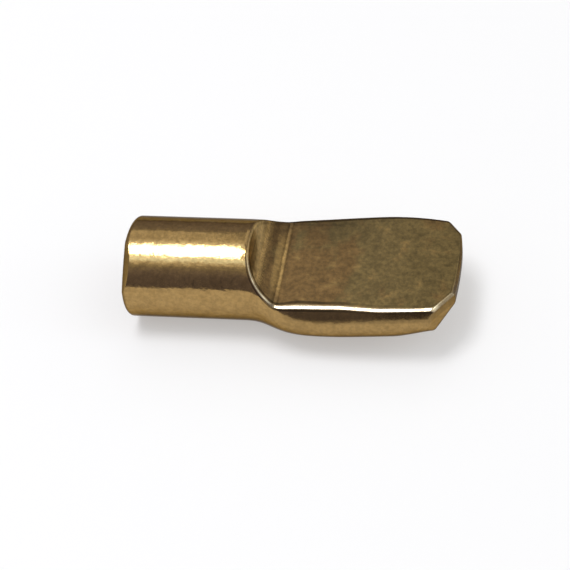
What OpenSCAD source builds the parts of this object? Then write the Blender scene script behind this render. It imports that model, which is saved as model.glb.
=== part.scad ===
// Spoon shelf pin, cold-forged from one length of round brass wire.
// A round shank pushes into the hole in the cabinet's side. Past the shoulder the wire is pressed
// to a flat-topped paddle with bulged sides and a rounded keel, and the shelf rests on its flat.
// X runs along the shank's axis from the free end to the paddle's tip, and Z points up.
// The origin is on the axis at the shoulder's edge, where the plain round shank ends.

/* [Shank] */
// Diameter of the round shank, the size of the hole it fits
shank_d = 5; // [4.8:0.1:6.4]
// Length of the shank from its free end to the shoulder's edge
shank_len = 6.25; // [4:0.05:12]
// Radius of the rounded rim at the free end
rim_r = 0.55; // [0.2:0.05:1]
// Height of the slight crown on the free end
end_crown = 0.1; // [0.05:0.05:0.3]

/* [Shoulder] */
// Length of the scooped shoulder, from its edge to where the flat begins
scoop_len = 1.42; // [1:0.05:2]
// Radius of the scoop
scoop_r = 2.7; // [2:0.1:4]
// Length over which the round wire swells to the paddle's full width
swell_len = 3.15; // [2.5:0.05:4.5]

/* [Paddle] */
// Length of the paddle from the shoulder's edge to the tip
paddle_len = 10.2; // [9:0.1:14]
// Full width across the bulged sides
paddle_w = 6.8; // [6.6:0.05:8]
// Height of the flat above the shank's axis where the flat begins
flat_z = 0.55; // [0.4:0.05:0.9]
// Angle at which the flat climbs to the tip, in degrees
flat_rise = 3; // [0:0.25:4]
// Radius of the bulged sides next to the shoulder
side_r_root = 1.1; // [1:0.05:1.6]
// Radius of the bulged sides at the tip
side_r_tip = 1.65; // [1.2:0.05:1.8]
// How far the middle of the side's bulge lies below the flat next to the shoulder
bulge_drop_root = 1.2; // [1:0.05:1.3]
// How far it lies below the flat at the tip
bulge_drop_tip = 0.75; // [0.4:0.05:0.9]
// Distance from the tip at which the sides begin to draw in
draw_in = 4.3; // [2:0.1:6]
// Radius, seen from above, of the sides where they draw in
draw_in_r = 14.4; // [10:0.1:40]

/* [Tip] */
// Radius of the tip's end, seen from above
end_r = 5.5; // [4:0.1:12]
// Corner clip: how far back it starts, on a corner as wide as the paddle
clip_back = 1.6; // [0.8:0.05:2.2]
// Corner clip: how far in it ends
clip_side = 1.95; // [0.8:0.05:2.3]

/* [Underside] */
// How far the keel would rise from the shank's underside to the tip, but for the slanted face
keel_rise = 0.86; // [0.4:0.02:1.2]
// Angle of the slanted face under the tip, in degrees
bow_angle = 40; // [35:1:60]
// Height of that face's upper edge above the shank's axis
bow_z = 0.36; // [0:0.02:0.5]
// Radius of the short curve between the keel and that face
bow_r = 3; // [1:0.1:5]

/* [Hidden] */
$fn = 96;

brass = [0.72, 0.57, 0.32];
shank_r = shank_d / 2;
half_w = paddle_w / 2;
// The pressed part's skin starts inside the shank, this far back and shrunk by this factor
lead = 0.3;
tuck = 0.95;
// It comes out a hair proud of the shank, so that it covers the shank's end
proud = 0.01;
start_r = shank_r + proud;
// The keel stays level up to where the flat begins, and rises along a curve of this radius
keel_run = paddle_len - scoop_len;
keel_r = (keel_run * keel_run + keel_rise * keel_rise) / (2 * keel_rise);
// Least depth of the keel below the sides' rounds
keel_least = 0.1;
// Half-size of the blocks that cut the paddle, larger than any paddle
reach = 20;
// How far the skin runs past the tip before the tip is cut
spare = 0.5;
// Rings along the swelling stretch and along the rest of the paddle
swell_rings = 24;
paddle_rings = 12;
// Points round half a ring: the side's round, from almost upright, and the keel's
side_points = 22;
keel_points = 8;
top_angle = 88;

function ease(t) = let (u = max(0, min(1, t))) u * u * (3 - 2 * u);
function swell(x) = ease(x / swell_len);
function mix(a, b, t) = a + (b - a) * t;

// Depth of a circular arc of radius r, a distance d from its crown
function arc_depth(r, d) = r - sqrt(r * r - d * d);

// Height of the flat at x
function flat_line(x) = flat_z + (x - scoop_len) * tan(flat_rise);

// Half the width across the bulged sides at x
function side_y(x) = mix(start_r, half_w, swell(x))
    - arc_depth(draw_in_r, max(0, x - (paddle_len - draw_in)));
// Radius of the side's round and the height of its centre at x
function side_r(x) = mix(start_r, mix(side_r_root, side_r_tip, x / paddle_len), swell(x));
function side_z(x) = swell(x) * (flat_line(x) - mix(bulge_drop_root, bulge_drop_tip, x / paddle_len));
// Distance from the middle plane to the centre of the side's round
function side_c(x) = side_y(x) - side_r(x);
// Height of the keel's lowest line at x
function keel_z(x) = -start_r + arc_depth(keel_r, max(0, x - scoop_len));
// Depth of that line below the side's round
function keel_depth(x) = max(side_z(x) - side_r(x) - keel_z(x), keel_least * swell(x));

// Angle below level at which the side's round turns into the keel's, tangent to it
// At the shoulder's edge, where the section is still round, it is the limit of that angle
function turn_angle(depth, c) = 90 - 2 * atan(depth / c);
function keel_angle(x) = swell(x) > 0
    ? turn_angle(keel_depth(x), side_c(x))
    : turn_angle(flat_line(0) - bulge_drop_root - side_r_root + start_r, half_w - side_r_root);

// Point of the section at x whose outward direction is a degrees above level
function section_point(x, a) =
    let (t = keel_angle(x), r = side_r(x), c = side_c(x))
    a >= -t ? [c + r * cos(a), side_z(x) + r * sin(a)]
            : let (k = c / cos(t) + r) [k * cos(a), side_z(x) + c * tan(t) + k * sin(a)];

// Right half of the section, from its top to the keel
function half_section(x) =
    let (t = keel_angle(x))
    [for (i = [0 : side_points]) section_point(x, mix(top_angle, -t, i / side_points)),
     for (i = [1 : keel_points]) section_point(x, mix(-t, -90, i / keel_points))];

// Whole section as a ring of points in space
function ring(x) =
    let (h = half_section(x), n = len(h))
    [for (p = h) [x, p[0], p[1]],
     for (i = [n - 2 : -1 : 0]) [x, -h[i][0], h[i][1]]];

// Where the rings of the paddle stand
ring_places = [
    for (i = [0 : swell_rings]) mix(0, swell_len, i / swell_rings),
    for (i = [1 : paddle_rings]) mix(swell_len, paddle_len + spare, i / paddle_rings)];

// The swelling wire before it is punched and its tip shaped: rings joined into a closed skin
module swelling_wire() {
    buried = [for (p = ring(0)) [-lead, tuck * p[1], tuck * p[2]]];
    rings = [buried, for (x = ring_places) ring(x)];
    n = len(rings[0]);
    last = len(rings) - 1;
    points = [for (r = rings) for (p = r) p];
    sides = [for (k = [0 : last - 1], i = [0 : n - 1])
        let (a = k * n + i, b = k * n + (i + 1) % n)
        each [[a, b, b + n], [a, b + n, a + n]]];
    ends = [[for (i = [n - 1 : -1 : 0]) i], [for (i = [0 : n - 1]) last * n + i]];
    polyhedron(points, concat(sides, ends));
}

// A profile drawn in x and z, made as wide as any paddle
module across() rotate([90, 0, 0]) linear_extrude(2 * reach, center = true) children();

// What the punch presses away: the scoop and all that stands above the flat
module punch() {
    drop = shank_r - flat_z;
    chord = norm([scoop_len, drop]);
    lift = sqrt(scoop_r * scoop_r - chord * chord / 4) / chord;
    scoop_x = scoop_len / 2 + drop * lift;
    scoop_z = (shank_r + flat_z) / 2 + scoop_len * lift;
    across() {
        intersection() {
            translate([scoop_x, scoop_z]) circle(scoop_r);
            translate([scoop_len - reach, flat_z]) square(reach);
        }
        translate([scoop_len, flat_z]) polygon([
            [0, 0], [reach, reach * tan(flat_rise)], [reach, reach], [0, reach]]);
    }
}

// The tip's outline seen from above, open towards the shank
module tip_outline() {
    intersection() {
        union() {
            translate([paddle_len - end_r, 0]) circle(end_r);
            translate([-reach, -reach / 2]) square([reach + paddle_len - end_r, reach]);
        }
        polygon([
            [-reach, -half_w], [paddle_len - clip_back, -half_w],
            [paddle_len, clip_side - half_w], [paddle_len, half_w - clip_side],
            [paddle_len - clip_back, half_w], [-reach, half_w]]);
    }
}

// What is missing under the tip: a slanted face, and the short curve between it and the keel
module bow() {
    along = [cos(bow_angle), sin(bow_angle)];
    inward = [-sin(bow_angle), cos(bow_angle)];
    top = [paddle_len, bow_z];
    keel_centre = [scoop_len, keel_r - start_r];
    // The short curve touches both the slanted face and the keel's long curve
    from_keel = top + bow_r * inward - keel_centre;
    slide = from_keel * along;
    back = slide + sqrt(slide * slide - from_keel * from_keel + (keel_r - bow_r) ^ 2);
    centre = top + bow_r * inward - back * along;
    on_face = centre - bow_r * inward;
    on_keel = keel_centre + (centre - keel_centre) * keel_r / (keel_r - bow_r);
    across() difference() {
        polygon([on_keel, on_face, top + reach * along, [reach, -reach], [on_keel[0], -reach]]);
        translate(centre) circle(bow_r);
    }
}

// Round shank with its rounded rim and lightly crowned end
module shank() {
    face_r = shank_r - rim_r;
    rim_x = end_crown - shank_len;
    crown_r = (face_r * face_r + end_crown * end_crown) / (2 * end_crown);
    rotate([0, 90, 0]) rotate_extrude() {
        translate([0, rim_x]) square([face_r, -rim_x]);
        translate([0, rim_x + rim_r]) square([shank_r, -rim_x - rim_r]);
        translate([face_r, rim_x + rim_r]) circle(rim_r);
        intersection() {
            translate([0, crown_r - shank_len]) circle(crown_r);
            translate([0, -shank_len]) square([face_r, end_crown]);
        }
    }
}

// The shank and the swelling wire, punched flat on top and shaped at the tip
module shelf_pin() color(brass)
    difference() {
        intersection() {
            union() {
                shank();
                swelling_wire();
            }
            linear_extrude(2 * reach, center = true) tip_outline();
        }
        punch();
        bow();
    }

shelf_pin();
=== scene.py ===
import math

import bpy
import numpy as np
from mathutils import Matrix, Vector


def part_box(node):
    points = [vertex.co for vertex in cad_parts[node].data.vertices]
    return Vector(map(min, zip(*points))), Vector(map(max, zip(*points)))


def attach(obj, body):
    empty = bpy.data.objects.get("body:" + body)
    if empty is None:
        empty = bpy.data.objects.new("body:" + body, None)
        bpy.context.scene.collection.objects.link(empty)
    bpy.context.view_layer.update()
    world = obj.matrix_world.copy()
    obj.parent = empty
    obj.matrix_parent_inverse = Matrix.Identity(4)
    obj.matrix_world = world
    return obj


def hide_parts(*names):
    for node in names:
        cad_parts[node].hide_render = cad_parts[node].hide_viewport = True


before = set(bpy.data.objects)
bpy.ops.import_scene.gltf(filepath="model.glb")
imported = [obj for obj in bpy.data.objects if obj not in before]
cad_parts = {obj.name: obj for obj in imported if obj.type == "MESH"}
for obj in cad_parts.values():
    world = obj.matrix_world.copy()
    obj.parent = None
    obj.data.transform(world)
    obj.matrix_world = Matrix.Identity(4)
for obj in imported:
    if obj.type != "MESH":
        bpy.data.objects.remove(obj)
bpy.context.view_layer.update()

# Looks of the shelf support pin. The forged piece is modelled in millimetres, in the frame's axes:
# X runs along the shank to the paddle's tip, Z points up, and the origin is at the shoulder's edge.
# The near side, which the camera sees, is the one below zero in Y. The skin is the zero level of one
# smooth function, pin(), so every edge has its real soft radius. Angles are in radians, except where a
# line says degrees. The sections are the shape, the mesh, helpers for nodes, the brass, the camera, the
# floor, the lamp and the studio.
MM = 0.001
LOW, HIGH = (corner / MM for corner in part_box("shelf_pin"))

# Shank: its radius, its free end, and the radius of that end's rim. The end is crowned by this height,
# leans by this much for each millimetre across, and is moved out so that it still reaches the CAD's end
SHANK_R = 2.5
SHANK_END = LOW.x
RIM_R = 0.23
END_CROWN = 0.1
END_LEAN = 0.066
END_SHIFT = 0.08
# A short flat is worn on the end's rim: its angle round the shank, up from the near side, a point that it
# passes through, along the shank and out from its axis, how far it faces out, and the radius and the
# cosine of the turn of its edge
NICK_AT = math.radians(50)
NICK_X = -5.96
NICK_OUT = 2.25
NICK_FACING = math.radians(36)
NICK_EDGE_R = 0.03
NICK_EDGE_COS = 0.8

# Shoulder: the length of the scoop and its radius
SCOOP_LEN = 1.42
SCOOP_R = 2.7
# The punch stands a touch askew: how far along X it moves, and how much more for each millimetre across
PUNCH_SHIFT = 0.045
PUNCH_SKEW = 0.022
# The swelling begins here, is a good third done at its middle, and dies away at this rate for each
# millimetre along
SWELL_START = -0.6
SWELL_MIDDLE = 0.97
SWELL_RATE = 1.3
# Powers of the swelling: the far side spreads a little later than the near one, and on both sides the
# widest line sinks later than the near side spreads
FAR_SPREAD_POWER = 1.3
NEAR_SINK_POWER = 1.3
FAR_SINK_POWER = 1.5

# Paddle: its tip and half width, and the height of its flat at the crease and its climb
TIP = HIGH.x
HALF_W = HIGH.y
FLAT_Z = 0.55
FLAT_RISE = math.radians(3)
# Its sides: the radius of their round, how far their widest line lies below the flat, and the length and
# radius of the curve that draws them in towards the tip
SIDE_R_ROOT = 1.1
SIDE_R_TIP = 1.65
BULGE_DROP_ROOT = 1.2
BULGE_DROP_TIP = 0.75
DRAW_IN = 4.3
DRAW_IN_R = 14.4
# The near side: half width, draw-in, and at four places along X the radius of its round, the drop of its
# middle below the flat, and how much flatter it is above the angle UPPER_FROM
NEAR_HALF_W = 3.39
NEAR_DRAW_IN_R = 32.0
NEAR_PLACES = (1.8, 4.2, 7.0, 9.3)
NEAR_R = (1.12, 1.12, 1.36, 0.95)
NEAR_DROP = (1.13, 1.13, 0.97, 0.8)
NEAR_FLATTER = (1.0, 1.9, 1.15, 2.6)
UPPER_FROM = math.radians(25)
# Least values for a section that is still round, so that nothing is divided by zero
LEAST_CENTRE = 1e-6
LEAST_DEPTH = 1e-7

# Tip seen from above: the end's radius, larger on the near side, how far short of the CAD's tip it stays,
# and how much the far side is drawn back for each millimetre across, with a soft start at the middle
END_R = 9.0
NEAR_END_R = 14.0
TIP_SHORT = 0.02
TIP_SKEW = 0.05
SKEW_SOFT = 0.5
# Its clipped corners: how far back and in they reach, how much of that is left on, and how much they turn
CLIP_BACK = 1.6
CLIP_SIDE = 1.95
CLIP_SPARE = 0.17
CLIP_TURN = math.radians(22)

# Underside: the keel's rise to the tip, and the slanted face under the tip with the curve that leads to it
KEEL_RISE = 0.86
BOW_ANGLE = math.radians(40)
BOW_Z = 0.36
BOW_R = 3.0
BOW_SPARE = 0.04
BOW_TURN = math.radians(33)

# Radii of the edges, and the turn at the crease
TIP_EDGE_R = 0.06
BOW_EDGE_R = 0.09
CREASE_R = 0.8
CREASE_TURN = math.radians(30)
# Narrow facets that the punch leaves along its edge. At the shoulder and along the flat: depth below the
# sharp corner, and the radius and the cosine of the turn of the facet's own edges. Then how much a facet
# leans with the side and with the flat
FACET_DEPTH = (0.027, 0.036)
FACET_EDGE_R = (0.06, 0.1)
FACET_EDGE_COS = (0.7, 0.9)
FACET_SIDE = 0.45
FACET_TOP = 0.68
# The facet round the tip leans at 45 degrees, and its depth changes over a stretch across
TIP_FACET_DEPTH = (0.095, 0.08)
TIP_FACET_SPAN = (-2.5, 1.5)
COS_45 = math.sqrt(0.5)

# Mesh: rays are cast from a spine inside the piece, whose height changes in the middle and again towards
# the tip. A share of the rays at each end fans out, and the last at the tip is tilted up
SPINE_ENDS = (SHANK_END + 1.8, TIP - 2.2)
SPINE_HEIGHTS = (0.0, -0.75, -0.3)
SPINE_SINKS = (-0.4, 2.0)
SPINE_RISES_FROM = 4.0
FAN = 0.16
TIP_TILT = math.radians(24)
RAY_LENGTH = 6.0
HALVINGS = 26
# Dense samples, then the rings and the points round a ring that are kept, closer together at bends
DENSE_RINGS = 600
DENSE_POINTS = 560
RINGS = 310
RING_POINTS = 280
BEND_WEIGHT = 0.55
LEAST_LENGTH = 1e-9
RING_BLENDS = 6
# How many steps bring the points onto the skin, the distance that its slope is measured over, and the
# least square of the slope that a step is divided by
SETTLE_STEPS = 4
SLOPE_STEP = 1e-4
LEAST_SQUARE = 0.2
# The pressed mark fades out over this distance below what the punch leaves
PRESSED_FADE = 0.06


def mix(a, b, t):
    return a + (b - a) * t


def ease(t):
    u = np.clip(t, 0, 1)
    return u * u * (3 - 2 * u)


def ease_over(value, low, high):
    """Goes smoothly from 0 to 1 as a value goes from low to high."""
    return ease((value - low) / (high - low))


def arc_depth(radius, distance):
    """How far a circle has curved away at a distance from where it touches a line."""
    return radius - np.sqrt(radius * radius - distance * distance)


def round_max(a, b, radius, cos_turn=0.0):
    """The larger of two distances, with the corner between them rounded to a radius.

    cos_turn is the cosine of the angle by which the surface turns at the corner, 0 for a square one.
    """
    a_in = a + radius
    b_in = b + radius
    squared = a_in * a_in + b_in * b_in - 2 * a_in * b_in * cos_turn
    arc = np.sqrt(np.maximum(squared, 0) / (1 - cos_turn * cos_turn)) - radius
    on_arc = (a_in > b_in * cos_turn) & (b_in > a_in * cos_turn)
    return np.where(on_arc, arc, np.maximum(a, b))


def round_min(a, b, radius, cos_turn=0.0):
    return -round_max(-a, -b, radius, cos_turn)


def onto_flat(x):
    """0 on the shank, 1 on the flat, and between them over the scoop."""
    return ease(x / SCOOP_LEN)


def flat_line(x):
    """Height of the flat."""
    return FLAT_Z + (x - SCOOP_LEN) * math.tan(FLAT_RISE)


def keel_line(x):
    """Height of the keel's lowest line, before the slanted face is cut."""
    run = TIP - SCOOP_LEN
    radius = (run * run + KEEL_RISE * KEEL_RISE) / (2 * KEEL_RISE)
    return -SHANK_R + arc_depth(radius, np.maximum(0, x - SCOOP_LEN))


def along_near(x, values):
    """A value given at the near side's places, changing smoothly from each to the next."""
    total = values[0]
    for place, after, value, later in zip(NEAR_PLACES, NEAR_PLACES[1:], values, values[1:]):
        total = total + (later - value) * ease_over(x, place, after)
    return total


def swelling(x):
    """How far the round wire has swollen to the paddle's full width at x, from 0 to 1."""
    return np.exp(-np.exp((SWELL_MIDDLE - x) * SWELL_RATE))


def side_round(x, y):
    """The bulged side at x: radius of its round, height and distance out of its centre, radius above.

    The near side is pressed flatter above its widest line than the far one.
    """
    near = y < 0
    along = np.clip(x / TIP, 0, 1)
    swell = swelling(x)
    spread = np.where(near, swell, swell ** FAR_SPREAD_POWER)
    sunk = np.where(near, swell ** NEAR_SINK_POWER, swell ** FAR_SINK_POWER)
    half_w = np.where(near, NEAR_HALF_W, HALF_W)
    draw_in_r = np.where(near, NEAR_DRAW_IN_R, DRAW_IN_R)
    reach = mix(SHANK_R, half_w, spread) - arc_depth(draw_in_r, np.maximum(0, x - (TIP - DRAW_IN)))
    full_r = np.where(near, along_near(x, NEAR_R), mix(SIDE_R_ROOT, SIDE_R_TIP, along))
    full_drop = np.where(near, along_near(x, NEAR_DROP), mix(BULGE_DROP_ROOT, BULGE_DROP_TIP, along))
    radius = mix(SHANK_R, full_r, swell)
    height = sunk * (flat_line(x) - full_drop)
    flatter = np.where(near, mix(1, along_near(x, NEAR_FLATTER), onto_flat(x)), 1)
    return radius, height, np.maximum(reach - radius, LEAST_CENTRE), radius * flatter


def wire(x, y, z):
    """Distance from the round wire and the swelling section it is pressed to."""
    side = np.abs(y)
    radius, height, centre, upper_r = side_round(x, y)
    depth = np.maximum(height - radius - keel_line(x), LEAST_DEPTH)
    turn = math.pi / 2 - 2 * np.arctan(depth / centre)
    keel_centre = height + centre * np.tan(turn)
    below = (z - keel_centre) * np.cos(turn) + side * np.sin(turn) < 0
    keel = np.hypot(side, z - keel_centre) - (centre / np.cos(turn) + radius)
    lower = np.hypot(side - centre, z - height) - radius
    # Above a set angle the side goes on with its upper radius. Between the sides the wire's top lies well
    # above what the punch leaves
    cos_from, sin_from = math.cos(UPPER_FROM), math.sin(UPPER_FROM)
    above = (z - height) * cos_from - (side - centre) * sin_from > 0
    upper_c = centre - (upper_r - radius) * cos_from
    upper_z = height - (upper_r - radius) * sin_from
    spare = np.maximum(upper_c - side, 0) * onto_flat(x)
    upper = np.hypot(np.maximum(side - upper_c, 0), z - upper_z) - upper_r - spare
    sides = np.where(above, upper, lower)
    return np.where(x < SWELL_START, np.hypot(y, z) - SHANK_R, np.where(below, keel, sides))


def punch(x, y, z):
    """Distance above what the punch leaves: the scoop, the crease and the sloping flat."""
    x = x - PUNCH_SHIFT - PUNCH_SKEW * y
    # The scoop's centre is a radius away from both ends of its arc
    drop = SHANK_R - FLAT_Z
    chord = math.hypot(SCOOP_LEN, drop)
    lift = math.sqrt(SCOOP_R * SCOOP_R - chord * chord / 4) / chord
    scoop_x = SCOOP_LEN / 2 + drop * lift
    scoop_z = (SHANK_R + FLAT_Z) / 2 + SCOOP_LEN * lift
    scoop = np.where(x < scoop_x, SCOOP_R - np.hypot(x - scoop_x, z - scoop_z), z - scoop_z + SCOOP_R)
    flat = (z - flat_line(x)) * math.cos(FLAT_RISE)
    return round_min(scoop, flat, CREASE_R, math.cos(CREASE_TURN))


def tip_outline(x, y):
    """Distance outside the tip's outline seen from above: a round end with clipped corners."""
    far_side = (y + np.hypot(y, SKEW_SOFT)) / 2
    skewed = x - TIP_SKEW * far_side + TIP_SHORT
    end_r = np.where(y < 0, NEAR_END_R, END_R)
    end = np.where(skewed > TIP - end_r, np.hypot(skewed - TIP + end_r, y) - end_r, np.abs(y) - end_r)
    slope = math.hypot(CLIP_BACK, CLIP_SIDE)
    clip = (CLIP_SIDE * (skewed - TIP + CLIP_BACK) + CLIP_BACK * (np.abs(y) - HALF_W)) / slope
    return round_max(end, clip - CLIP_SPARE, TIP_EDGE_R, math.cos(CLIP_TURN))


def bow(x, z):
    """Distance below the slanted face under the tip and the curve that leads to it from the keel."""
    slant = (x - TIP) * math.sin(BOW_ANGLE) - (z - BOW_Z) * math.cos(BOW_ANGLE)
    return round_max(slant, keel_line(x) - z - BOW_SPARE, BOW_R, math.cos(BOW_TURN))


def free_end(x, y, z):
    """Distance beyond the lightly crowned, slightly slanting free end."""
    face_r = SHANK_R - RIM_R
    crown_r = (face_r * face_r + END_CROWN * END_CROWN) / (2 * END_CROWN)
    leaning = x + END_SHIFT - END_LEAN * (y + face_r)
    return np.hypot(leaning - SHANK_END - crown_r, np.hypot(y, z)) - crown_r


def nick(x, y, z):
    """Distance beyond the short flat worn on the rim of the free end."""
    out = z * math.sin(NICK_AT) - y * math.cos(NICK_AT)
    return (out - NICK_OUT) * math.sin(NICK_FACING) - (x - NICK_X) * math.cos(NICK_FACING)


def side_facet(x, skin, top):
    """Distance above the narrow facet between the side and what the punch leaves."""
    return FACET_SIDE * skin + FACET_TOP * top + mix(*FACET_DEPTH, onto_flat(x))


def tip_facet(y, tip, top):
    """The same above the facet round the tip, which is a little deeper on the near side."""
    return (tip + top) * COS_45 + mix(*TIP_FACET_DEPTH, ease_over(y, *TIP_FACET_SPAN))


def pin(p):
    """Signed size of the forged piece at points p: below zero inside, zero on its skin."""
    x, y, z = p[..., 0], p[..., 1], p[..., 2]
    on_flat = onto_flat(x)
    skin = wire(x, y, z)
    top = punch(x, y, z)
    tip = tip_outline(x, y)
    body = round_max(skin, free_end(x, y, z), RIM_R)
    body = round_max(body, nick(x, y, z), NICK_EDGE_R, NICK_EDGE_COS)
    body = round_max(body, bow(x, z), BOW_EDGE_R)
    body = np.maximum(body, top)
    facet = side_facet(x, skin, top)
    body = round_max(body, facet, mix(*FACET_EDGE_R, on_flat), mix(*FACET_EDGE_COS, on_flat))
    body = round_max(body, tip, TIP_EDGE_R)
    return round_max(body, tip_facet(y, tip, top), TIP_EDGE_R, COS_45)


def spine(t):
    """Rays at t from 0, the free end, to 1, the tip: where they start, their part along, their part out."""
    middle = np.clip((t - FAN) / (1 - 2 * FAN), 0, 1)
    x = mix(*SPINE_ENDS, middle)
    z = mix(SPINE_HEIGHTS[0], SPINE_HEIGHTS[1], ease_over(x, *SPINE_SINKS))
    z = mix(z, SPINE_HEIGHTS[2], ease_over(x, SPINE_RISES_FROM, SPINE_ENDS[1]))
    start = np.stack([x, 0 * x, z], -1)
    spread = np.minimum(np.minimum(t, 1 - t) / FAN, 1) * math.pi / 2
    to_tip = [math.cos(TIP_TILT), 0, math.sin(TIP_TILT)]
    ahead = np.where((t > 0.5)[:, None], to_tip, [-1, 0, 0])
    return start, np.cos(spread)[:, None] * ahead, np.sin(spread)


def cast(t, turn):
    """Points where rays from the spine leave the piece, one row for each t and turn."""
    start, along, out = spine(t)
    around = np.stack([0 * turn, np.sin(turn), -np.cos(turn)], -1)
    ray = along[:, None] + out[:, None, None] * around
    ray /= np.linalg.norm(ray, axis=-1, keepdims=True)
    low = np.zeros(ray.shape[:2])
    high = np.full(ray.shape[:2], RAY_LENGTH)
    for _ in range(HALVINGS):
        half = (low + high) / 2
        inside = pin(start[:, None] + ray * half[..., None]) < 0
        low = np.where(inside, half, low)
        high = np.where(inside, high, half)
    return start[:, None] + ray * low[..., None]


def bending(points):
    """Length of each step along rows of points, made longer where the row bends."""
    step = np.diff(points, axis=1)
    length = np.linalg.norm(step, axis=-1)
    heading = step / np.maximum(length, LEAST_LENGTH)[..., None]
    bend = np.linalg.norm(np.diff(heading, axis=1), axis=-1)
    bend = np.pad(bend, ((0, 0), (1, 1)), mode="edge")
    return length + BEND_WEIGHT * (bend[:, 1:] + bend[:, :-1]) / 2


def marks(weight):
    """Running total of the steps' weights, from 0 to 1 along each row."""
    total = np.cumsum(np.pad(weight, ((0, 0), (1, 0))), 1)
    return total / total[:, -1:]


def respace(rings):
    """The same rings with fewer points, closer together where the ring bends."""
    closed = np.concatenate([rings, rings[:, :1]], 1)
    weight = bending(closed)
    for _ in range(RING_BLENDS):
        inner = np.pad(weight, ((1, 1), (0, 0)), mode="edge")
        weight = (inner[:-2] + inner[1:-1] + inner[2:]) / 3
        weight = (np.roll(weight, 1, 1) + weight + np.roll(weight, -1, 1)) / 3
    wanted = np.linspace(0, 1, RING_POINTS, endpoint=False)
    rows = []
    for row, mark in zip(closed, marks(weight)):
        rows.append(np.stack([np.interp(wanted, mark, row[:, k]) for k in range(3)], -1))
    return np.array(rows)


def slope_of_pin(points):
    """How fast the signed size changes along each axis."""
    changes = []
    for axis in np.eye(3) * SLOPE_STEP:
        changes.append((pin(points + axis) - pin(points - axis)) / (2 * SLOPE_STEP))
    return np.stack(changes, -1)


def settle(points):
    """Moves points the short way onto the skin."""
    for _ in range(SETTLE_STEPS):
        slope = slope_of_pin(points)
        square = np.maximum((slope * slope).sum(-1, keepdims=True), LEAST_SQUARE)
        points = points - slope * (pin(points)[..., None] / square)
    return points


def skin_points():
    """The skin: its first point, at the free end, the rings after it, and its last point, at the tip."""
    t = np.linspace(0, 1, DENSE_RINGS)
    turn = np.linspace(0, 2 * math.pi, DENSE_POINTS, endpoint=False)
    lines = cast(t, turn).transpose(1, 0, 2)
    progress = marks(bending(lines).mean(0)[None])[0]
    skin = cast(np.interp(np.linspace(0, 1, RINGS), progress, t), turn)
    return skin[0, 0], settle(respace(skin[1:-1])), skin[-1, 0]


def skin_faces(rings):
    """Faces between neighbouring rings, and a fan of triangles round each end point."""
    last_ring = 1 + (rings - 1) * RING_POINTS
    end = last_ring + RING_POINTS
    faces = []
    for j in range(RING_POINTS):
        k = (j + 1) % RING_POINTS
        faces.append((0, 1 + j, 1 + k))
        for a in range(1, last_ring, RING_POINTS):
            b = a + RING_POINTS
            faces.append((a + j, b + j, b + k, a + k))
        faces.append((last_ring + j, end, last_ring + k))
    return faces


def mark_places(mesh, vertices):
    """Tells the material what the punch pressed, and how far each point is from the bevel and the bow."""
    x, y, z = vertices.T
    skin, top, tip = wire(x, y, z), punch(x, y, z), tip_outline(x, y)
    bevel = np.maximum(side_facet(x, skin, top), tip_facet(y, tip, top))
    for name, value in (("pressed", ease(1 + top / PRESSED_FADE)), ("bevel", bevel), ("bow", bow(x, z))):
        attribute = mesh.attributes.new(name, "FLOAT", "POINT")
        attribute.data.foreach_set("value", value)


def forged_mesh():
    """The whole piece as one closed skin."""
    first, rings, last = skin_points()
    vertices = np.concatenate([[first], rings.reshape(-1, 3), [last]])
    mesh = bpy.data.meshes.new("forged_pin")
    mesh.from_pydata((vertices * MM).tolist(), [], skin_faces(len(rings)))
    mesh.update()
    mesh.shade_smooth()
    mark_places(mesh, vertices)
    return mesh


class Output:
    """A node's output. Used in sums, it adds Math nodes to its tree."""

    def __init__(self, tree, socket):
        self.tree = tree
        self.socket = socket

    def combine(self, operation, first, second):
        """A Math node in the same tree."""
        return new_node(self.tree, "ShaderNodeMath", {0: first, 1: second}, operation=operation)

    def __add__(self, other):
        return self.combine("ADD", self, other)

    def __mul__(self, other):
        return self.combine("MULTIPLY", self, other)

    def __rsub__(self, other):
        return self.combine("SUBTRACT", other, self)

    def __truediv__(self, other):
        return self.combine("DIVIDE", self, other)

    def at_least(self, other):
        return self.combine("MAXIMUM", self, other)

    def at_most(self, other):
        return self.combine("MINIMUM", self, other)

    def angle_up_from(self, level):
        """Angle of a direction whose part upwards is this output."""
        return self.combine("ARCTAN2", self, level)

    def fade(self, span, at_low, at_high):
        """A smooth change from at_low to at_high as this output goes through a span."""
        low, high = span
        inputs = {"Value": self, "From Min": low, "From Max": high, "To Min": at_low, "To Max": at_high}
        return new_node(self.tree, "ShaderNodeMapRange", inputs, interpolation_type="SMOOTHSTEP")

    def window(self, edges, soft, inside=1, outside=0):
        """One value while this output is between two edges and another outside them, changing smoothly."""
        rise = self.fade((edges[0] - soft, edges[0]), outside, inside)
        fall = self.fade((edges[1], edges[1] + soft), inside, outside)
        return rise.at_most(fall)


def feed(socket, source):
    """Gives a node's input its source: an Output, a number, three numbers or a plain colour."""
    if isinstance(source, Output):
        source.tree.links.new(source.socket, socket)
    elif socket.type == "RGBA":
        socket.default_value = (*source, 1)
    else:
        socket.default_value = source


def new_node(tree, kind, inputs, output=0, **settings):
    """One of the outputs of a new node, whose inputs are given by name or number."""
    node = tree.nodes.new(kind)
    for name, value in settings.items():
        setattr(node, name, value)
    for name, source in inputs.items():
        feed(node.inputs[name], source)
    return Output(tree, node.outputs[output])


def split(place):
    """The three parts of a place: along X, Y and Z."""
    first = new_node(place.tree, "ShaderNodeSeparateXYZ", {0: place})
    return [Output(place.tree, socket) for socket in first.socket.node.outputs]


def blend(share, first, second):
    """A colour that goes from the first to the second as a share goes from 0 to 1."""
    # A Mix node's colours are its inputs 6 and 7 and its output 2
    return new_node(share.tree, "ShaderNodeMix", {0: share, 6: first, 7: second}, 2, data_type="RGBA")


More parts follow.
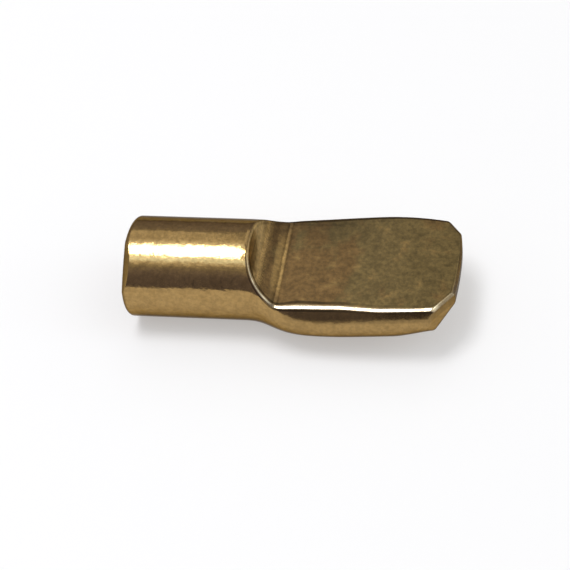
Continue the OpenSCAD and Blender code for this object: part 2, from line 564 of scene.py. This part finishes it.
def ramp(share, stops):
    """A colour ramp through stops of (position, (red, green, blue))."""
    colour = new_node(share.tree, "ShaderNodeValToRGB", {"Fac": share}, "Color")
    elements = colour.socket.node.color_ramp.elements
    # New stops start in the middle and then get their positions
    while len(elements) < len(stops):
        elements.new(0.5)
    for element, (position, shade) in zip(elements, stops):
        element.position = position
        element.color = (*shade, 1)
    return colour


def noise(place, scale, detail, squeeze=(1, 1, 1)):
    """Noise with a number of blobs to the millimetre, drawn out along an axis where squeeze is below 1."""
    squeezed = new_node(place.tree, "ShaderNodeVectorMath", {0: place, 1: squeeze}, operation="MULTIPLY")
    inputs = {"Vector": squeezed, "Scale": scale, "Detail": detail}
    return new_node(place.tree, "ShaderNodeTexNoise", inputs, "Fac")


def new_material(name, inputs):
    """A material whose shader has some plain inputs, and that shader."""
    material = bpy.data.materials.new(name)
    material.use_nodes = True
    shader = material.node_tree.nodes["Principled BSDF"]
    for socket_name, value in inputs.items():
        feed(shader.inputs[socket_name], value)
    return material, shader


# Brass: colours as it reflects straight on. Drawn metal is on the shank and sides, olive to golden is the
# tarnish on the flat, burnished is the scoop and also a painted highlight along the crease's middle, rubbed
# is the shoulder rubbed paler with a painted highlight, and bare is the worn near edge painted paler as its
# highlight, with a painted highlight at the tip's near corner
DRAWN = (0.37, 0.235, 0.085)
DRAWN_DULL = (0.335, 0.21, 0.074)
OLIVE = (0.195, 0.135, 0.05)
BROWN = (0.205, 0.121, 0.043)
GOLDEN = (0.27, 0.171, 0.06)
BURNISHED_AND_HIGHLIGHT = (0.41, 0.26, 0.088)
RUBBED_AND_HIGHLIGHT = (0.6, 0.41, 0.165)
BARE_AND_HIGHLIGHT = (0.38, 0.3, 0.185)
CORNER_HIGHLIGHT = (0.95, 0.78, 0.5)
BARE_TIP = (0.3, 0.22, 0.12)
# The colour of its reflections at a grazing angle, and a thin clear film over it
GRAZING_TINT = (0.35, 0.31, 0.27)
FILM_WEIGHT = 0.2
FILM_ROUGHNESS = 0.08

# Noises: blobs to the millimetre, detail, and for streaks the squeeze along each axis
CLOUDS = (0.7, 4)
PATCHES = (1.6, 5)
SPECKS = (5, 3)
GRAINS = (12, 2)
SLIDE_STREAKS = (4, 2, (1, 0.05, 1))
WAVES = (1.1, 2)
DENTS = (2.8, 3)
DRAWN_LINES = (9, 2, (0.06, 1, 1))

# Stretches in millimetres over which a look changes, first those along the piece from its free end
# Over the first, painted shade on the free end's rim fades out
RIM_DARK_SPAN = (SHANK_END + 0.13, SHANK_END + 0.27)
# Over the next, the shoulder's rubbed paleness and painted highlight fade out
SHOULDER_RUB_AND_HIGHLIGHT_SPAN = (0.25, 0.65)
SCOOP_SPAN = (0.3, 1.3)
MATT_SPAN = (0.5, 3.0)
SIDES_DARKER_SPAN = (0.8, 2.4)
UNDER_EDGE_SPAN = (1.4, 2.6)
RUDDY_SPAN = (2.5, 7.0)
BEVEL_SHADE_SPAN = (3.5, 6.0)
FAR_ROOT_SPAN = (3.5, 7.0)
LOW_RIM_SPAN = (8.5, 8.8)
CORNER_SPAN = (8.65, 8.75)
TIP_BARE_SPAN = (9.0, 9.5)
# and then those across it, from the near side to the far one
NEAR_LIGHTER_ACROSS = (-2.9, -2.0)
BARE_AND_HIGHLIGHT_ACROSS = (-1.9, -0.7)
BEVEL_SHADE_ACROSS = (-1.5, -0.5)
FAR_EDGE_SHADE_ACROSS = (-1.0, 0.6)
FAR_ROOT_ACROSS = (0.4, 2.6)
# The crease: its edges along the piece, and across it the middle where a highlight is painted, with the
# width that each fades over
CREASE_EDGES = (SCOOP_LEN - 0.3, SCOOP_LEN + 0.08)
CREASE_SOFT = 0.12
CREASE_HIGHLIGHT_ACROSS = (-1.2, 1.0)
CREASE_HIGHLIGHT_SOFT = 1.3
CREASE_HIGHLIGHT_SHARE = 0.65
# Distances from the bevel round the flat, and from the slanted face under the tip. Below zero is short of
# them, on the side under the bevel and on the side above the slanted face
# The band along the bevel, painted paler on the near side as its highlight and darker on the far side as
# painted shade, fades in over this
EDGE_BAND_BEVEL = (-0.02, 0)
# Just short of the bevel a dark line of painted shade stands in for a dark reflection
BEVEL_SHADE_EDGES = (-0.06, -0.035)
BEVEL_SHADE_SOFT = 0.02
# Painted shade lies under the near edge between these distances, and along the tip's low rim between the
# next
UNDER_EDGES = (-0.3, -0.03)
UNDER_EDGE_SOFT = 0.12
LOW_RIM_EDGES = (-0.1, -0.015)
LOW_RIM_SOFT = 0.02

# Stretches of the noises over which the tarnish changes, and how the clouds turn less brown to the tip
DULL_PATCHES = (0.4, 0.65)
BROWN_CLOUDS = (0.42, 0.58)
GOLDEN_PATCHES = (0.56, 0.78)
RUDDY_MORE = (0.04, -0.12)
# Shares of the brightness by which the noises change it, and how strong the specks are on drawn metal
MOTTLE_SPAN = (0.3, 0.7)
BLOTCH_SPAN = (0.35, 0.65)
SPECK_SHADE = 0.18
GRAIN_SHADE = 0.06
BLOTCH_SHADE = 0.1
STREAK_SHADE = 0.28
DRAWN_SPECKS = 0.6
# Shares of the brightness that the painted shade along the bevel takes, from the root to the tip, and how
# much of it the far side has
BEVEL_SHADE_DARK = (0.65, 0.25)
FAR_BEVEL_SHADE = 0.35
# Shares of the brightness taken by the darker far root, by painted shade at the crease's ends and under
# the near edge, by the darker sides, by painted shade along the tip's low rim, on the far edge and on the
# free end's rim, and the share that the flat gains towards the near edge
FAR_ROOT_DARKER = 0.36
CREASE_END_SHADE = 0.3
UNDER_EDGE_SHADE = 0.3
SIDES_DARKER = 0.08
LOW_RIM_SHADE = 0.55
FAR_EDGE_SHADE = 0.45
RIM_SHADE = 0.35
NEAR_LIGHTER = 0.14

# Roughness of drawn and pressed metal, and what the grain, the scoop and the swollen sides add to it
DRAWN_ROUGH = 0.065
PRESSED_ROUGH = 0.15
GRAIN_ROUGH = 0.1
SCOOP_ROUGH = 0.1
SWOLLEN_ROUGH = 0.1
# Heights of the skin's unevenness in millimetres
WAVE_HEIGHT = 0.018
DENT_HEIGHT = 0.0099
LINE_HEIGHT = 0.00135
PORE_HEIGHT = 0.0018


class PinSkin:
    """Each point of the brass: its place in millimetres, masks of the piece's parts, and noises."""

    def __init__(self, tree):
        place = new_node(tree, "ShaderNodeTexCoord", {}, "Object")
        self.place = new_node(tree, "ShaderNodeVectorMath", {0: place, "Scale": 1 / MM}, operation="SCALE")
        self.along, self.across, _ = split(self.place)
        self.pressed = self.mark("pressed")
        self.bevel = self.mark("bevel")
        self.bow = self.mark("bow")
        self.unpressed = self.pressed.fade((0, 1), 1, 0)
        self.edge_band = self.bevel.fade(EDGE_BAND_BEVEL, 0, 1)
        self.scoop = self.pressed * self.along.fade(SCOOP_SPAN, 1, 0)
        self.crease = self.along.window(CREASE_EDGES, CREASE_SOFT)
        # Across the crease, the middle where a highlight is painted
        self.middle = self.across.window(CREASE_HIGHLIGHT_ACROSS, CREASE_HIGHLIGHT_SOFT, CREASE_HIGHLIGHT_SHARE)
        self.clouds = noise(self.place, *CLOUDS)
        self.patches = noise(self.place, *PATCHES)
        self.specks = noise(self.place, *SPECKS)
        self.grains = noise(self.place, *GRAINS)

    def mark(self, name):
        """What mark_places says of each point."""
        return new_node(self.place.tree, "ShaderNodeAttribute", {}, "Fac", attribute_name=name)


def flat_colour(skin):
    """The pressed top: tarnish in clouds and patches, burnished in the scoop, rubbed paler at the shoulder
    with a painted highlight there, and a painted highlight along the crease's middle.
    """
    ruddy = skin.clouds + skin.along.fade(RUDDY_SPAN, *RUDDY_MORE)
    colour = blend(ruddy.fade(BROWN_CLOUDS, 0, 1), OLIVE, BROWN)
    colour = blend(skin.patches.fade(GOLDEN_PATCHES, 0, 1), colour, GOLDEN)
    colour = blend(skin.scoop, colour, BURNISHED_AND_HIGHLIGHT)
    # The shoulder is rubbed paler, and its colour is also a painted highlight where the scoop's top catches
    # light
    colour = blend(skin.along.fade(SHOULDER_RUB_AND_HIGHLIGHT_SPAN, 1, 0), colour, RUBBED_AND_HIGHLIGHT)
    # Painted highlight along the crease's middle, in the burnished colour
    return blend(skin.crease * skin.middle, colour, BURNISHED_AND_HIGHLIGHT)


def bare_and_highlight_colour(skin):
    """The near edge, worn to bare metal and painted paler as its highlight: a painted highlight at the
    tip's corner, darker round the tip.
    """
    colour = blend(skin.along.fade(CORNER_SPAN, 0, 1), BARE_AND_HIGHLIGHT, CORNER_HIGHLIGHT)
    return blend(skin.along.fade(TIP_BARE_SPAN, 0, 1), colour, BARE_TIP)


def brass_colour(skin):
    """Drawn metal below the bevel, the flat's colours above it, and bare metal along the near edge, painted
    paler as its highlight.
    """
    drawn = blend(skin.patches.fade(DULL_PATCHES, 0, 1), DRAWN, DRAWN_DULL)
    colour = blend(skin.pressed, drawn, flat_colour(skin))
    # The near edge is worn bare and painted paler as its highlight
    bare_and_highlight = skin.edge_band * skin.across.fade(BARE_AND_HIGHLIGHT_ACROSS, 1, 0)
    return blend(bare_and_highlight, colour, bare_and_highlight_colour(skin))


def mottling(skin):
    """Brightness as the specks, the grain and the flat's blotches change it."""
    specks = skin.specks.fade(MOTTLE_SPAN, -SPECK_SHADE, SPECK_SHADE)
    specks = specks * skin.pressed.fade((0, 1), DRAWN_SPECKS, 1)
    grains = skin.grains.fade(MOTTLE_SPAN, 1 - GRAIN_SHADE, 1 + GRAIN_SHADE)
    blotches = skin.patches.fade(BLOTCH_SPAN, -BLOTCH_SHADE, BLOTCH_SHADE) * skin.pressed
    return specks + grains + blotches


def bevel_line_shade(skin):
    """Share of the brightness that a line of painted shade along the bevel takes, a dark reflection painted
    in.
    """
    line = skin.bevel.window(BEVEL_SHADE_EDGES, BEVEL_SHADE_SOFT)
    return line * skin.along.fade(BEVEL_SHADE_SPAN, *BEVEL_SHADE_DARK) * skin.across.fade(BEVEL_SHADE_ACROSS, 1, FAR_BEVEL_SHADE)


def shade_and_darkening(skin):
    """Share of the brightness taken by darker places: painted shade at the crease's ends, under the near
    edge, along the tip's low rim, on the far part of the bevel band and on the free end's rim, and a darker
    tone towards the far side at the root and along the sides. The most that any of them takes at a point.
    """
    # Darker towards the far side at the root
    far_root = skin.across.fade(FAR_ROOT_ACROSS, 0, FAR_ROOT_DARKER) * skin.along.fade(FAR_ROOT_SPAN, 1, 0)
    # At the crease's ends painted shade dims its painted highlight
    crease_end_shade = skin.crease * (CREASE_HIGHLIGHT_SHARE - skin.middle) * CREASE_END_SHADE
    on_top = far_root.at_least(crease_end_shade) * skin.pressed
    # Painted shade under the near edge at the root, deepening its dark reflection
    under_edge = skin.bevel.window(UNDER_EDGES, UNDER_EDGE_SOFT, UNDER_EDGE_SHADE)
    under_edge = under_edge * skin.along.fade(UNDER_EDGE_SPAN, 0, 1) * skin.unpressed
    # Darker along the sides from the swelling on
    sides_darker = skin.along.fade(SIDES_DARKER_SPAN, 0, SIDES_DARKER) * skin.unpressed
    # Painted shade along the low rim of the tip, a reflected shadow painted in
    low_rim = skin.bow.window(LOW_RIM_EDGES, LOW_RIM_SOFT, LOW_RIM_SHADE)
    low_rim = low_rim * skin.along.fade(LOW_RIM_SPAN, 0, 1)
    # Painted shade on the far part of the bevel band, standing in for a dark reflection
    far_edge_shade = skin.edge_band * skin.across.fade(FAR_EDGE_SHADE_ACROSS, 0, FAR_EDGE_SHADE)
    # Painted shade on the free end's rim
    rim = skin.along.fade(RIM_DARK_SPAN, RIM_SHADE, 0)
    darkening = on_top
    for place in (under_edge, sides_darker, low_rim, far_edge_shade, rim):
        darkening = darkening.at_least(place)
    return darkening


def brightness(skin):
    """What the colour is multiplied by: mottling, painted shade along the bevel, painted shade and darker
    places, a flat lighter towards the near edge, and streaks in the scoop.
    """
    # The flat is lighter towards the near edge
    near_lighter = skin.across.fade(NEAR_LIGHTER_ACROSS, NEAR_LIGHTER, 0) * skin.pressed
    streaks = noise(skin.place, *SLIDE_STREAKS).fade(BLOTCH_SPAN, -STREAK_SHADE, STREAK_SHADE) * skin.scoop
    shade = mottling(skin) * (1 - bevel_line_shade(skin)) * (1 - shade_and_darkening(skin))
    return shade * (near_lighter + 1) * (streaks + 1)


def roughness(skin):
    """Roughness, finest on the drawn shank."""
    rough = skin.grains * GRAIN_ROUGH + skin.pressed.fade((0, 1), DRAWN_ROUGH, PRESSED_ROUGH)
    swollen = skin.along.fade(MATT_SPAN, 0, SWOLLEN_ROUGH) * skin.unpressed
    return rough + skin.scoop * SCOOP_ROUGH + swollen


def relief(skin):
    """Height of the skin's unevenness in millimetres."""
    waves = noise(skin.place, *WAVES) * WAVE_HEIGHT
    dents = noise(skin.place, *DENTS) * DENT_HEIGHT
    lines = noise(skin.place, *DRAWN_LINES) * LINE_HEIGHT
    pores = skin.grains * PORE_HEIGHT
    return waves + dents + lines + pores


def brass():
    """Aged brass, drawn on the shank and pressed on the flat."""
    material, shader = new_material("aged_brass", {
        "Metallic": 1,
        "Specular Tint": GRAZING_TINT,
        "Coat Weight": FILM_WEIGHT,
        "Coat Roughness": FILM_ROUGHNESS,
    })
    tree = material.node_tree
    skin = PinSkin(tree)
    colour = {0: brass_colour(skin), "Scale": brightness(skin)}
    bump = {"Strength": 1, "Distance": MM, "Height": relief(skin)}
    feed(shader.inputs["Base Color"], new_node(tree, "ShaderNodeVectorMath", colour, operation="SCALE"))
    feed(shader.inputs["Roughness"], roughness(skin))
    feed(shader.inputs["Normal"], new_node(tree, "ShaderNodeBump", bump, "Normal"))
    return material


def add(name, data):
    """A new object in the scene."""
    obj = bpy.data.objects.new(name, data)
    bpy.context.scene.collection.objects.link(obj)
    return obj


def make_pin():
    """The visible pin, which stands for its CAD node."""
    mesh = forged_mesh()
    mesh.materials.append(brass())
    piece = add("forged_pin", mesh)
    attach(piece, "root")
    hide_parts("shelf_pin")


# Camera: the point that it aims at and its distance from it, how far round from the front and how high it
# stands, its roll, and its lens, its sensor and the depths that it sees between, in millimetres
CAMERA_AIM = (1.6359, -0.9092, 0)
CAMERA_DISTANCE = 99.744
CAMERA_ROUND = math.radians(15.075)
CAMERA_HEIGHT = math.radians(48.798)
CAMERA_ROLL = math.radians(-9.338)
LENS = 129.03
SENSOR = 36
VIEW_DEPTH = (1, 10000)


def make_camera():
    data = bpy.data.cameras.new("camera")
    data.lens = LENS
    data.sensor_width = SENSOR
    data.clip_start, data.clip_end = [depth * MM for depth in VIEW_DEPTH]
    camera = add("camera", data)
    aim = Matrix.Translation(Vector(CAMERA_AIM) * MM)
    turn = Matrix.Rotation(CAMERA_ROUND, 4, "Z")
    tilt = Matrix.Rotation(math.pi / 2 - CAMERA_HEIGHT, 4, "X")
    roll = Matrix.Rotation(CAMERA_ROLL, 4, "Z")
    back = Matrix.Translation((0, 0, CAMERA_DISTANCE * MM))
    camera.matrix_world = aim @ turn @ tilt @ roll @ back
    bpy.context.scene.camera = camera


# Floor: the length of its sides in millimetres, its colour, and the strength of its glow
FLOOR_SIZE = 900
FLOOR_COLOUR = (0.577, 0.561, 0.524)
FLOOR_GLOW = 0.375
# In the metal the floor glows only in front of the pin, fading over this stretch from front to back
GLOW_SPAN = (-1 * MM, 3 * MM)


def light_path(tree, name):
    """1 for the rays that a name says, such as the camera's, and 0 for the others."""
    return new_node(tree, "ShaderNodeLightPath", {}, name)


def pale_floor():
    """A matt pale surface that also glows a little, but only as seen by the camera or in the metal."""
    material, shader = new_material("pale_floor", {
        "Base Color": FLOOR_COLOUR,
        "Roughness": 1,
        "Specular IOR Level": 0,
        "Emission Color": (1, 1, 1),
    })
    tree = material.node_tree
    _, depth, _ = split(new_node(tree, "ShaderNodeTexCoord", {}, "Object"))
    mirrored = light_path(tree, "Is Glossy Ray") * depth.fade(GLOW_SPAN, 1, 0)
    seen = light_path(tree, "Is Camera Ray").at_least(mirrored)
    seen = seen.at_least(light_path(tree, "Is Transmission Ray"))
    feed(shader.inputs["Emission Strength"], seen * FLOOR_GLOW)
    return material


def make_floor():
    half = FLOOR_SIZE / 2
    mesh = bpy.data.meshes.new("floor")
    corners = [(-half, -half), (half, -half), (half, half), (-half, half)]
    mesh.from_pydata([(x * MM, y * MM, LOW.z * MM) for x, y in corners], [], [(0, 1, 2, 3)])
    mesh.materials.append(pale_floor())
    add("floor", mesh)


# Softbox over the pin, facing straight down: its size and place in millimetres, its turn, and its light
SOFTBOX_SIZE = (76, 104)
SOFTBOX_PLACE = (-54, -14, 250)
SOFTBOX_TURN = math.radians(-33)
SOFTBOX_RADIANCE = 13
SOFTBOX_COLOUR = (0.96, 0.98, 1.08)


def make_lamp():
    data = bpy.data.lights.new("softbox", "AREA")
    data.shape = "RECTANGLE"
    data.size = SOFTBOX_SIZE[0] * MM
    data.size_y = SOFTBOX_SIZE[1] * MM
    # The power that gives a flat lamp of this area its radiance
    data.energy = SOFTBOX_RADIANCE * math.pi * data.size * data.size_y
    data.color = SOFTBOX_COLOUR
    lamp = add("softbox", data)
    lamp.location = Vector(SOFTBOX_PLACE) * MM
    lamp.rotation_euler = (0, 0, SOFTBOX_TURN)


# Studio: its radiance round the pin, by the angle in degrees up from the camera's side and over to the far
# side
STUDIO = ((0, 0.2), (28, 0.23), (43, 0.36), (50, 0.5), (57, 1.0), (62, 1.7), (66, 2.1), (72, 2.1),
          (79, 0.7), (96, 0.7), (102, 1.8), (108, 1.3), (114, 0.95), (120, 0.8), (131, 0.54), (138, 0.45),
          (147, 0.36), (160, 0.33), (180, 0.26))
BRIGHTEST = max(radiance for _, radiance in STUDIO)
# The same on the side that the paddle's tip points to, and the stretch of directions along X that leads
# to it
STUDIO_RIGHT = ((0, 0.55), (50, 0.8), (74, 1.0), (80, 1.7), (98, 1.7), (108, 0.7), (134, 0.45), (145, 0.95),
                (153, 0.25), (166, 0.3), (176, 1.0))
RIGHT_SPAN = (0.35, 0.5)
# The brightest part spans a stretch of directions along X; elsewhere the studio is no brighter than this
BRIGHT_EDGES = (-0.29, -0.08)
BRIGHT_SOFT = 0.08
SIDE_LIMIT = 0.42
# Low on the camera's side, from here along X and up to here in degrees, a corner is darker by this share
CORNER_ACROSS = (-0.19, -0.14)
CORNER_UP = (21.6, 36)
CORNER_SHADE = 0.5
# Patches of light: radiance, the two edges along X, the two edges up in degrees. A strip beyond the pin
# and a pale wall behind the shank. They fade over this share of a half turn, and as much along X
STRIP = (1.15, (-0.02, 0.25), (112, 146))
PALE_WALL = (0.95, (-0.42, -0.2), (119, 136))
PATCH_SOFT = 0.03
# What is brighter than a plain wall is also cooler, as a window is: extra green and blue over this stretch
# of radiance. Dark corners are a touch cooler too
BRIGHT_SPAN = (1, 2)
BRIGHT_GREEN = 0.2
BRIGHT_BLUE = 0.45
DARK_SPAN = (0.2, 0.5)
DARK_GREEN = -0.05
DARK_BLUE = 0.3


def half_turns(angles):
    """Angles in degrees as shares of a half turn."""
    return [degrees / 180 for degrees in angles]


def studio_ramp(share, stops):
    """Radiance by the angle over the pin, as a share of the brightest."""
    angles, radiances = zip(*stops)
    shades = [[radiance / BRIGHTEST] * 3 for radiance in radiances]
    return ramp(share, list(zip(half_turns(angles), shades)))


def with_patch(level, across, share, patch):
    """The studio's level with a patch of light laid over it."""
    radiance, sideways, up = patch
    high = share.window(half_turns(up), PATCH_SOFT)
    wide = across.window(sideways, PATCH_SOFT, radiance / BRIGHTEST)
    return level.at_least(wide * high)


def tinted(level):
    """The colour of the studio's light at a level."""
    bright = level.fade(BRIGHT_SPAN, 0, 1)
    dark = level.fade(DARK_SPAN, 1, 0)
    green = level * (bright * BRIGHT_GREEN + 1 + dark * DARK_GREEN)
    blue = level * (bright * BRIGHT_BLUE + 1 + dark * DARK_BLUE)
    return new_node(level.tree, "ShaderNodeCombineColor", {"Red": level, "Green": green, "Blue": blue})


def make_world():
    world = bpy.data.worlds.new("studio")
    bpy.context.scene.world = world
    world.use_nodes = True
    tree = world.node_tree
    tree.nodes.clear()
    across, depth, up = split(new_node(tree, "ShaderNodeTexCoord", {}, "Generated"))
    # The angle over the pin from the camera's side, as a share of a half turn
    share = up.angle_up_from(depth * -1) / math.pi
    limit = across.window(BRIGHT_EDGES, BRIGHT_SOFT, 1, SIDE_LIMIT / BRIGHTEST)
    level = studio_ramp(share, STUDIO).at_most(limit)
    level = blend(across.fade(RIGHT_SPAN, 0, 1), level, studio_ramp(share, STUDIO_RIGHT))
    corner = across.fade(CORNER_ACROSS, 0, CORNER_SHADE) * share.fade(half_turns(CORNER_UP), 1, 0)
    level = level * (1 - corner)
    for patch in (STRIP, PALE_WALL):
        level = with_patch(level, across, share, patch)
    background = new_node(tree, "ShaderNodeBackground", {"Color": tinted(level * BRIGHTEST)})
    feed(tree.nodes.new("ShaderNodeOutputWorld").inputs["Surface"], background)


bpy.context.scene.view_settings.view_transform = "Standard"
make_camera()
make_pin()
make_floor()
make_lamp()
make_world()
